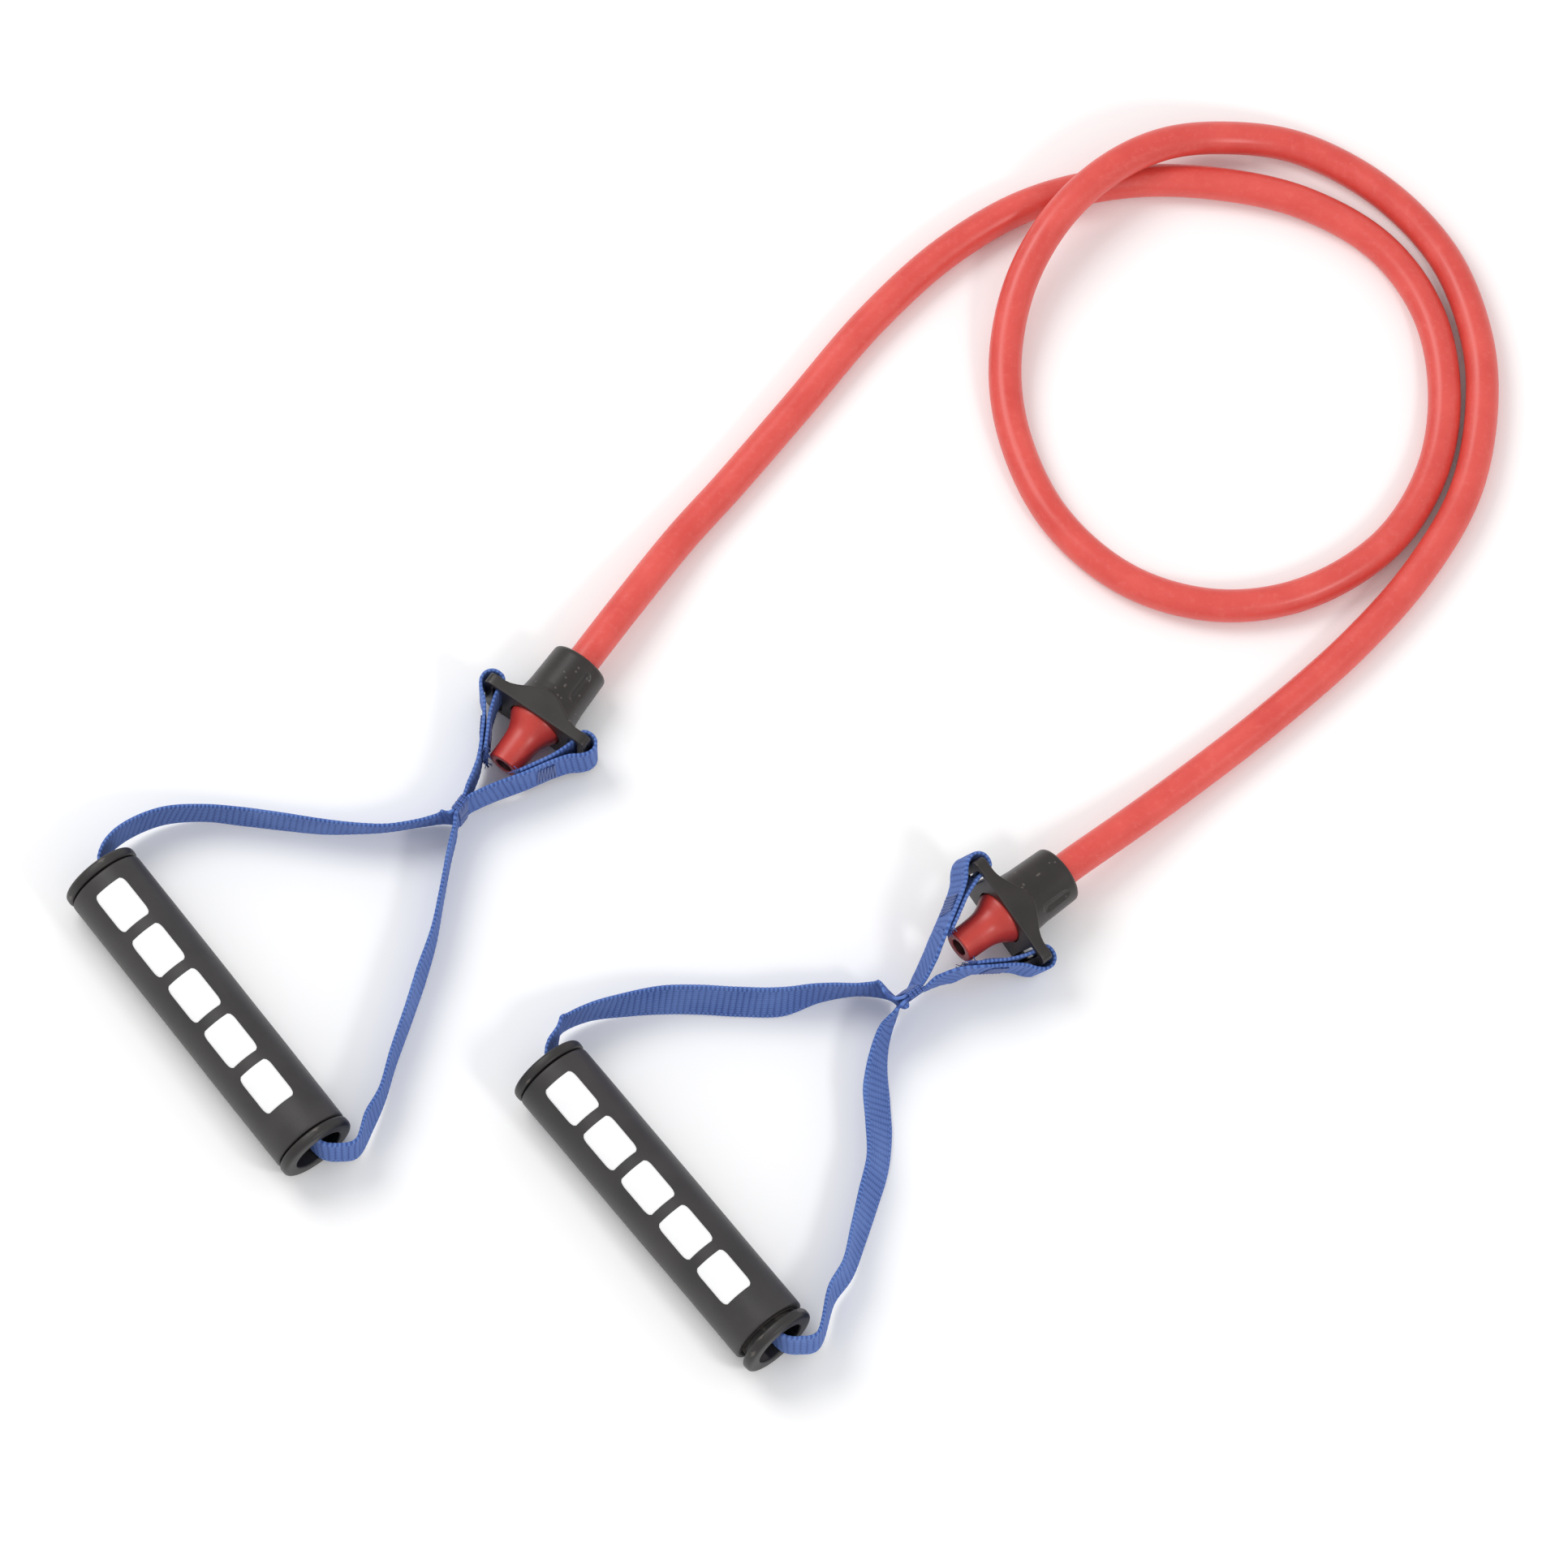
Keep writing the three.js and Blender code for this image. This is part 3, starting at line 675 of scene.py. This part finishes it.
MATERIALS = {
    "tube": tube_rubber(),
    # tube_end: painted shade, a darker copy of the tube's rubber.
    "tube_end": tube_end_rubber(),
    # bore: painted shade inside the tube's open end.
    "bore": bore_painted_shade(),
    "yoke": moulded_plastic("yoke_plastic", linear(30, 26, 24), linear(38, 33, 31), 0.34),
    "cap": moulded_plastic("cap_plastic", linear(32, 30, 29), linear(40, 38, 37), 0.45),
    "core": moulded_plastic("core_plastic", linear(34, 32, 32), linear(44, 42, 41), 0.5),
    "stopper": moulded_plastic("stopper_plastic", linear(205, 200, 188), linear(222, 217, 206), 0.4),
    "webbing": webbing(),
    "thread": stitching(),
    "foam": grip_foam(),
    "print": white_print(),
    "floor": floor_paint(),
}


def dressed(obj, material, body=None, stands_for=()):
    """obj with its material, the body it rides on and the CAD nodes that it stands for."""
    obj.data.materials.clear()
    obj.data.materials.append(MATERIALS[material])
    if body:
        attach(obj, body)
    if stands_for:
        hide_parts(*stands_for)
    return obj


# ---- camera --------------------------------------------------------------------------------------


def add_camera():
    data = bpy.data.cameras.new("camera")
    data.sensor_width = 36
    data.lens = data.sensor_width * CAMERA_DISTANCE / VIEW_WIDTH
    data.clip_end = 100
    camera = bpy.data.objects.new("camera", data)
    back = Vector((0, -math.cos(CAMERA_ELEVATION), math.sin(CAMERA_ELEVATION)))
    camera.location = Vector(CAMERA_TARGET) + CAMERA_DISTANCE * back
    camera.rotation_euler = (math.pi / 2 - CAMERA_ELEVATION, 0, 0)
    bpy.context.scene.collection.objects.link(camera)
    bpy.context.scene.camera = camera


# ---- the tube ------------------------------------------------------------------------------------


def axis_points(end, distances):
    frame_matrix = yoke_frame(end)
    return [frame_matrix @ Vector((x, 0, 0)) for x in distances]


def add_tube():
    straight = [TUBE_START, -20 * MM, -31 * MM, -38 * MM]
    start = axis_points(ENDS["a"], straight)
    finish = axis_points(ENDS["b"], straight)[::-1]
    path, _ = spline([*start, *[Vector(p) for p in LOOSE_ROUTE], *finish], 2.5 * MM)
    tube = tube_mesh("rubber_tube", path, TUBE_DIAMETER / 2, 32)
    dressed(tube, "tube", "tube", ["tube"])


def add_tube_end(letter, end):
    """The flared end with its tail, whose outside is a smooth curve through a few points. The CAD's stopper
    inside it gets its material here."""
    flare = [
        (-8.6, 6.25), (-7, 6.6), (-5, 8), (-3, 9.6), (-1.2, 10.5), (0.4, 10.5), (2.2, 9.6), (4.2, 8.4),
        (6.6, 7.4), (9.4, 6.9), (13, 6.7), (19.4, 6.6),
    ]
    outside, _ = spline([(x * MM, r * MM, 0) for x, r in flare], 0.5 * MM)
    lip = 0.5 * MM
    length = 20 * MM
    bore = 3.4 * MM
    profile = [(x, r) for x, r, _ in outside]
    for t in (0.4, 0.8, 1.2, 1.57):
        profile.append((length - lip * (1 - math.sin(t)), 6.6 * MM - lip * (1 - math.cos(t))))
    profile += [(length, bore + lip), (length - 0.15 * MM, bore + 0.15 * MM), (length - lip, bore)]
    profile += [(6.4 * MM, bore), (5.6 * MM, 0.3 * MM), (-8 * MM, 0.3 * MM), (-8.6 * MM, 0.4 * MM)]
    obj = lathe(f"flared_end_{letter}", profile, 96, yoke_frame(end))
    dressed(obj, "tube_end", "tube", [f"tube_end_{letter}"])
    obj.data.materials.append(MATERIALS["bore"])
    # The faces inside the bore get the painted shade.
    inverse = yoke_frame(end).inverted()
    for face in obj.data.polygons:
        place = inverse @ face.center
        if math.hypot(place.y, place.z) < bore + 0.2 * MM:
            face.material_index = 1
    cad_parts[f"stopper_{letter}"].data.materials.clear()
    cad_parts[f"stopper_{letter}"].data.materials.append(MATERIALS["stopper"])


# ---- the yoke ------------------------------------------------------------------------------------


def plate_outline():
    """Plan of the cross plate, in (x, y): thin at the end bars and thick at the hub, on a cosine."""
    half = YOKE_SPAN / 2
    outline = [(0, -half), (0, half), (-BAR_THICKNESS, half)]
    steps = 60
    for i in range(steps + 1):
        y = HUB_HALF_WIDTH * (1 - 2 * i / steps)
        rise = 0.5 + 0.5 * math.cos(math.pi * y / HUB_HALF_WIDTH)
        outline.append((-(BAR_THICKNESS + (HUB_THICKNESS - BAR_THICKNESS) * rise), y))
    outline.append((-BAR_THICKNESS, -half))
    return outline


def add_yoke(letter, end):
    """The cross plate with its collar, less the bore, the two slots and a moulded pocket on each side of the
    collar, with every edge softened."""
    half_breadth = YOKE_BREADTH / 2
    outline = plate_outline()
    plate = prism(f"yoke_body_{letter}", outline, -half_breadth, half_breadth, lambda x, y, z: (x, y, z))
    w, h = YOKE_SPAN / 2, half_breadth
    face_outline = rounded([(-w, -h), (w, -h), (w, h), (-w, h)], YOKE_CORNER, 8)
    keep = prism("keep", face_outline, -20 * MM, 1 * MM, lambda y, z, x: (x, y, z))
    cut_away(plate, keep, "INTERSECT")
    upright = Matrix.Identity(4)
    front, back, lip = -4 * MM, -YOKE_LENGTH, 1.6 * MM
    collar_profile = [(front, 0.01 * MM), (front, COLLAR_RADIUS + MM), (-7 * MM, COLLAR_RADIUS + MM)]
    collar_profile += [(-10 * MM, COLLAR_RADIUS + 0.5 * MM), (-14 * MM, COLLAR_RADIUS + 0.1 * MM)]
    for i in range(9):
        angle = math.pi / 2 * (1 + i / 8)
        middle = COLLAR_RADIUS - 0.3 * MM - lip
        collar_profile.append((back + lip + lip * math.cos(angle), middle + lip * math.sin(angle)))
    collar_profile.append((back, 0.01 * MM))
    cut_away(plate, lathe("collar", collar_profile, 128, upright), "UNION")
    bore = [
        (1, 0.01), (1, 10.9), (-1.2, 10.9), (-3, 10), (-5, 8.4), (-7, 7), (-9.5, COLLAR_BORE / MM),
        (-31, COLLAR_BORE / MM), (-31, 0.01),
    ]
    cut_away(plate, lathe("bore", [(x * MM, r * MM) for x, r in bore], 96, upright))
    inner, outer, tall = SLOT
    for side in (-1, 1):
        low, high = sorted((side * inner, side * outer))
        cut_away(plate, box("slot", (-10 * MM, low, -tall / 2), (10 * MM, high, tall / 2)))
    for turn in (52, 232):
        angle = math.radians(turn)
        reach = COLLAR_RADIUS + 2.2 * MM
        y, z = reach * math.cos(angle), reach * math.sin(angle)
        line = [(x * MM, y, z) for x in (-27, -26.6, -25.8, -23.8, -19.5, -15.2, -13.2, -12.4, -12)]
        radii = [r * MM for r in (0.3, 1.5, 2.5, 3.2, 3.2, 3.2, 2.5, 1.5, 0.3)]
        cut_away(plate, tube_mesh("pocket", line, radii, 32))
    remesh = plate.modifiers.new("remesh", "REMESH")
    remesh.mode = "VOXEL"
    remesh.voxel_size = 0.3 * MM
    soften = plate.modifiers.new("soften", "SMOOTH")
    soften.factor = 0.5
    soften.iterations = 8
    applied(plate)
    plate.data.transform(yoke_frame(end))
    plate.data.shade_smooth()
    dressed(plate, "yoke", f"yoke_{letter}", [f"yoke_{letter}"])


# ---- the webbing ---------------------------------------------------------------------------------


def ribbon(name, route, to_world=None):
    """A woven strip along a route of (x, y, z, lean), and its length. lean tips the top edge to the left of
    travel, in degrees. The faces have real cross ribs, and the edges are round and slightly scalloped."""
    points, places = spline([p[:3] for p in route], RIB_PITCH / 5)
    leans = np.radians(np.interp(places, range(len(route)), [p[3] for p in route]))
    leans = smooth(leans, 40)
    tangents = smooth(np.gradient(points, axis=0), 3)
    tangents /= np.linalg.norm(tangents, axis=1)[:, None]
    left = np.cross((0, 0, 1), tangents)
    left /= np.linalg.norm(left, axis=1)[:, None]
    up = np.cross(tangents, left)
    across = up * np.cos(leans)[:, None] + left * np.sin(leans)[:, None]
    through = left * np.cos(leans)[:, None] - up * np.sin(leans)[:, None]
    reach = np.concatenate([[0], np.cumsum(np.linalg.norm(np.diff(points, axis=0), axis=1))])
    half, thin = BAND_WIDTH / 2, BAND_THICKNESS / 2
    flat = half - thin
    columns = 21
    section = [(s, -thin) for s in np.linspace(-flat, flat, columns)]
    section += [(flat + thin * math.sin(a), -thin * math.cos(a)) for a in np.linspace(0, math.pi, 7)[1:-1]]
    section += [(s, thin) for s in np.linspace(flat, -flat, columns)]
    section += [(-flat - thin * math.sin(a), thin * math.cos(a)) for a in np.linspace(0, math.pi, 7)[1:-1]]
    section = np.array(section)
    s, q = section[:, 0], section[:, 1]
    on_face = np.abs(s) < flat + 1e-6
    yarn = np.floor((s + half) / YARN_PITCH)
    rings = []
    uvs = []
    for i, point in enumerate(points):
        rib = np.cos(math.pi * (np.mod(reach[i] / RIB_PITCH + yarn * RIB_SLANT, 1) - 0.5))
        scallop = math.sin(2 * math.pi * reach[i] / EDGE_STITCH)
        lift = np.where(on_face, RIB_RELIEF * (rib**0.7 - 0.8) * np.sign(q), 0)
        wide = np.where(on_face, 0, 0.14 * MM * scallop * np.sign(s))
        ring = point + np.outer(s + wide, across[i]) + np.outer(q + lift, through[i])
        rings.append(ring)
        uvs.append([(a + half, reach[i]) for a in np.append(s, s[0])])
    rings = np.array(rings)
    obj = grid_mesh(name, rings, caps=True, uvs=np.array(uvs), matrix=to_world)
    return obj, reach[-1]


def leg_route(side, tack, lean):
    """From the cross tack along a leg, round the end bar and back inside it to the cut end, in the yoke's
    frame. side is 1 or -1. The shift to the tack, aside and up, comes in along the strap."""
    strap = [
        (45, 0.85, 0), (40, 0.85, 0), (36, 2.4, 0), (30, 4.9, 1), (25, 7.4, 0.5), (20, 10.3, 0),
        (16.6, 12.25, 0),
    ]
    fold = [
        (10, 16.1), (5, 19.7), (2.2, 23), (-0.6, 25.1), (-3.6, 25.4), (-6, 23.7), (-6.7, 21), (-5.9, 18.5),
        (-3.4, 17.5), (0, 17.3), (4.5, 16), (9.2, 14.1), (15.1, 10.9), (20.6, 7.9),
    ]
    route = []
    for x, y, leaning in strap:
        share = min(max((x - 20) / 20, 0), 1)
        share = share * share * (3 - 2 * share)
        route.append((x * MM, side * y * MM + share * tack[0], share * tack[1], -leaning * lean))
    return route + [(x * MM, side * y * MM, 0, 0) for x, y in fold]


def add_leg(letter, end, side, where):
    route = leg_route(side, end["tack"], end["leg_lean"][where])
    matrix = yoke_frame(end)
    name = f"leg_{letter}_{where}"
    leg, length = ribbon(name, route, matrix)
    dressed(leg, "webbing", None, [f"yoke_strap_{letter}_{where}", f"bar_loop_{letter}_{where}"])
    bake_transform(leg)


def threads(name, paths, radius, matrix=None, sides=6):
    strands = [tube_mesh(f"{name}_{i}", p, radius, sides, matrix) for i, p in enumerate(paths)]
    return join(name, strands)


def add_bar_tack(letter, end, side, where):
    """Zigzag stitches that close the fold, on both faces, and the frayed cut end of the returned layer."""
    rng = random.Random(7 if side > 0 else 11)
    slope = math.radians(-31.5)
    along = Vector((math.cos(slope), math.sin(slope) * side, 0))
    aside = Vector((-math.sin(slope) * side, math.cos(slope), 0)) * side
    paths = []
    for centre, face in (((12.9, 14.45), 1), ((13.7, 11.65), -1)):
        middle = Vector((centre[0] * MM, side * centre[1] * MM, 0))
        line = []
        for i in range(ZIGZAG_ROWS):
            x = (i / (ZIGZAG_ROWS - 1) - 0.5) * ZIGZAG_LENGTH
            z = (1 if i % 2 else -1) * (ZIGZAG_HALF_WIDTH + rng.uniform(-0.5, 0.5) * MM)
            off = face * (BAND_THICKNESS / 2 + 0.12 * MM)
            line.append(middle + along * x + aside * off + Vector((0, 0, z)))
        path, _ = spline(line, 0.5 * MM)
        path[:, :2] += np.array(aside)[:2] * face * 0.1 * MM
        paths.append(path)
    matrix = yoke_frame(end)
    tack = threads(f"bar_tack_threads_{letter}_{where}", paths, 0.3 * MM, matrix)
    dressed(tack, "thread", f"strap_{letter}", [f"bar_tack_{letter}_{where}"])
    tip = Vector((20.6 * MM, side * 7.9 * MM, 0))
    fibres = []
    for _ in range(FRAYED_YARNS):
        z = rng.uniform(-9.2, 9.2) * MM
        root = tip + aside * rng.uniform(-0.5, 0.5) * MM + Vector((0, 0, z)) - along * 1.2 * MM
        reach = rng.uniform(1.2, 2.8) * MM
        stray = Vector((rng.uniform(-1, 1), rng.uniform(-1, 1), rng.uniform(-1, 1))) * 0.42
        turn = Vector((rng.uniform(-1, 1), rng.uniform(-1, 1), rng.uniform(-1, 1))) * 0.6
        line = [root + (along + stray * t + turn * t * t) * reach * t for t in (0, 0.25, 0.5, 0.75, 1)]
        fibres.append([tuple(p) for p in line])
    fray = threads(f"frayed_end_{letter}_{where}", fibres, 0.16 * MM, matrix, sides=5)
    dressed(fray, "thread", f"strap_{letter}")


def add_cross_tack(letter, end):
    """Thread wound round both legs where they meet, each turn a slightly slanted, rounded loop."""
    rng = random.Random(3)
    aside, up = end["tack"]
    loops = []
    for i in range(WRAP_TURNS):
        x = WRAP_MIDDLE + (i - WRAP_TURNS // 2) * WRAP_STEP
        slant = rng.uniform(-0.9, 0.9) * MM
        line = []
        for k in range(41):
            angle = 2 * math.pi * k / 40
            c, s = math.cos(angle), math.sin(angle)
            y = WRAP_HALF_WIDTH * math.copysign(abs(c) ** 0.35, c)
            z = WRAP_HALF_HEIGHT * math.copysign(abs(s) ** 0.6, s)
            line.append((x + slant * s, y + aside, z + up))
        loops.append(line)
    tack = threads(f"cross_tack_threads_{letter}", loops, 0.32 * MM, yoke_frame(end), sides=8)
    dressed(tack, "thread", f"strap_{letter}", [f"cross_tack_{letter}"])


def sling_route(end):
    """From the cross tack along the upper leg, through the grip and back along the lower leg, in world
    places."""
    grip = grip_frame(end)
    aside, up = end["tack"]

    def at_tack(layer, x):
        place = yoke_frame(end) @ Vector((x, aside + layer * 0.85 * MM, up))
        return (*place, layer * end["yoke"][5])

    def at_grip(x, y, z):
        place = grip @ Vector((x, y, 0))
        return (place.x, place.y, z, 0)

    half = GRIP_LENGTH / 2
    bend = [(7.2, 11.5, 14.2), (4.6, 5.2, 15), (0.5, 1.2, 15.5), (-8, 0.1, 15.5)]
    bend = [tuple(c * MM for c in p) for p in bend]
    return [
        at_tack(-1, TACK + 0.1 * MM),
        at_tack(-1, TACK + 2.5 * MM),
        *[(x, y, z, -lean) for x, y, z, lean in reversed(end["upper"])],
        *[at_grip(-half - x, y, z) for x, y, z in bend],
        at_grip(0, 0, GRIP_HEIGHT),
        *[at_grip(half + end["stand_off"] + x, y, z) for x, y, z in reversed(bend)],
        *[(x, y, z, -lean) for x, y, z, lean in end["lower"]],
        at_tack(1, TACK + 2.5 * MM),
        at_tack(1, TACK + 0.1 * MM),
    ]


def add_sling(letter, end):
    sling, length = ribbon(f"webbing_sling_{letter}", sling_route(end))
    dressed(sling, "webbing", None, [f"sling_{letter}"])
    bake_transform(sling)


# ---- the grip ------------------------------------------------------------------------------------


def add_grip(letter, end):
    """The foam sleeve, its print and caps. The CAD's core tube inside it gets its material here."""
    matrix = grip_frame(end)
    reach = GRIP_LENGTH / 2 - CAP_THICKNESS - 0.4 * MM
    outline = rounded(
        [(-reach, SLEEVE_BORE, 0), (reach, SLEEVE_BORE, 0), (reach, SLEEVE_RADIUS), (-reach, SLEEVE_RADIUS)],
        1.4 * MM,
        8,
    )
    dense = []
    for (x0, r0), (x1, r1) in zip(outline, outline[1:] + outline[:1]):
        steps = max(1, round(math.hypot(x1 - x0, r1 - r0) / (1.5 * MM)))
        dense += [(x0 + (x1 - x0) * k / steps, r0 + (r1 - r0) * k / steps) for k in range(steps)]

    def unevenness(x, angle):
        place = Vector((x / 0.03, 2.2 * math.cos(angle), 2.2 * math.sin(angle) + len(letter)))
        return 0.1 * MM * noise.noise(place + Vector((ord(letter), 0, 0)))

    sleeve = lathe(f"foam_sleeve_{letter}", dense, 128, matrix, unevenness)
    dressed(sleeve, "foam", f"grip_{letter}", [f"grip_sleeve_{letter}"])
    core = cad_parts[f"core_tube_{letter}"]
    core.data.materials.clear()
    core.data.materials.append(MATERIALS["core"])
    add_print(letter, matrix)
    far_end = Matrix.Translation((-GRIP_LENGTH / 2, 0, 0)) @ Matrix.Rotation(math.pi, 4, "Z")
    add_cap(letter, "upper", matrix @ far_end)
    tilt = Matrix.Rotation(math.radians(end["cap_tilt"]), 4, "Z")
    seat = Matrix.Translation((GRIP_LENGTH / 2 + end["stand_off"], 0, 0))
    add_cap(letter, "lower", matrix @ seat @ tilt)


def add_cap(letter, where, matrix):
    """A ring with a rounded rim and a spigot. Its face is at x = 0 and the spigot points to -X."""
    back = -CAP_THICKNESS
    outline = rounded(
        [
            (back - SPIGOT_LENGTH, CAP_OPENING, 0.2 * MM),
            (0, CAP_OPENING, 0.9 * MM),
            (0, CAP_RADIUS, 1.9 * MM),
            (back, CAP_RADIUS, 1.5 * MM),
            (back, SPIGOT_RADIUS, 0.1 * MM),
            (back - SPIGOT_LENGTH, SPIGOT_RADIUS, 0.4 * MM),
        ],
        MM,
        10,
    )
    cap = lathe(f"cap_ring_{letter}_{where}", outline, 96, matrix)
    dressed(cap, "cap", f"grip_{letter}", [f"end_cap_{letter}_{where}"])


def add_print(letter, matrix):
    """Plain white blocks with round corners, printed along the sleeve: thin patches that follow its curve."""
    patches = []
    half_wide = math.radians(PRINT_HALF_ANGLE)
    middle = math.radians(PRINT_AZIMUTH)
    radius = SLEEVE_RADIUS + 0.05 * MM
    for i in range(PRINT_BLOCKS):
        start = PRINT_START + i * (PRINT_LENGTH + PRINT_GAP)
        rings = []
        steps = 24
        for k in range(steps + 1):
            x = start + PRINT_LENGTH * k / steps
            edge = min(1, min(k, steps - k) / steps / PRINT_CORNER)
            pull = PRINT_CORNER * (1 - math.sqrt(max(0, 1 - (1 - edge) ** 2)))
            angles = np.linspace(middle - half_wide * (1 - pull), middle + half_wide * (1 - pull), 17)
            rings.append([(x, radius * math.cos(a), radius * math.sin(a)) for a in angles])
        patch = grid_mesh(f"block_{i}", np.array(rings), closed=False, matrix=matrix)
        solid = patch.modifiers.new("thick", "SOLIDIFY")
        solid.thickness = 0.12 * MM
        solid.offset = 0
        patches.append(applied(patch))
    blocks = join(f"printed_blocks_{letter}", patches)
    dressed(blocks, "print", f"grip_{letter}")


# ---- stage ---------------------------------------------------------------------------------------


def add_floor():
    half = 3.0
    points = [(-half, -half, 0), (half, -half, 0), (half, half, 0), (-half, half, 0)]
    floor = mesh_object("floor", [(x + 0.08, y + 0.1, -0.0002) for x, y, _ in points], [(0, 1, 2, 3)])
    floor.data.materials.append(MATERIALS["floor"])


def add_light(name, position, size, watts):
    """A round area light that points at the camera's target."""
    data = bpy.data.lights.new(name, "AREA")
    data.shape = "DISK"
    data.size = size
    data.energy = watts
    light = bpy.data.objects.new(name, data)
    light.location = position
    back = Vector(position) - Vector(CAMERA_TARGET)
    light.rotation_euler = back.to_track_quat("Z", "Y").to_euler()
    bpy.context.scene.collection.objects.link(light)


def add_world():
    world = bpy.data.worlds.new("studio")
    world.use_nodes = True
    background = world.node_tree.nodes["Background"]
    background.inputs["Color"].default_value = (1, 1, 1, 1)
    background.inputs["Strength"].default_value = WORLD_LIGHT
    bpy.context.scene.world = world


# ---- build ---------------------------------------------------------------------------------------

bpy.context.scene.view_settings.view_transform = "Standard"
add_camera()
add_tube()
for letter, end in ENDS.items():
    add_tube_end(letter, end)
    add_yoke(letter, end)
    for side, where in ((1, "right"), (-1, "left")):
        add_leg(letter, end, side, where)
        add_bar_tack(letter, end, side, where)
    add_cross_tack(letter, end)
    add_sling(letter, end)
    add_grip(letter, end)
add_floor()
add_world()
add_light("key", (-0.8, 0.75, 1.5), 1.0, KEY_LIGHT)
add_light("highlight", (0.95, -0.75, 1.2), 0.3, HIGHLIGHT)
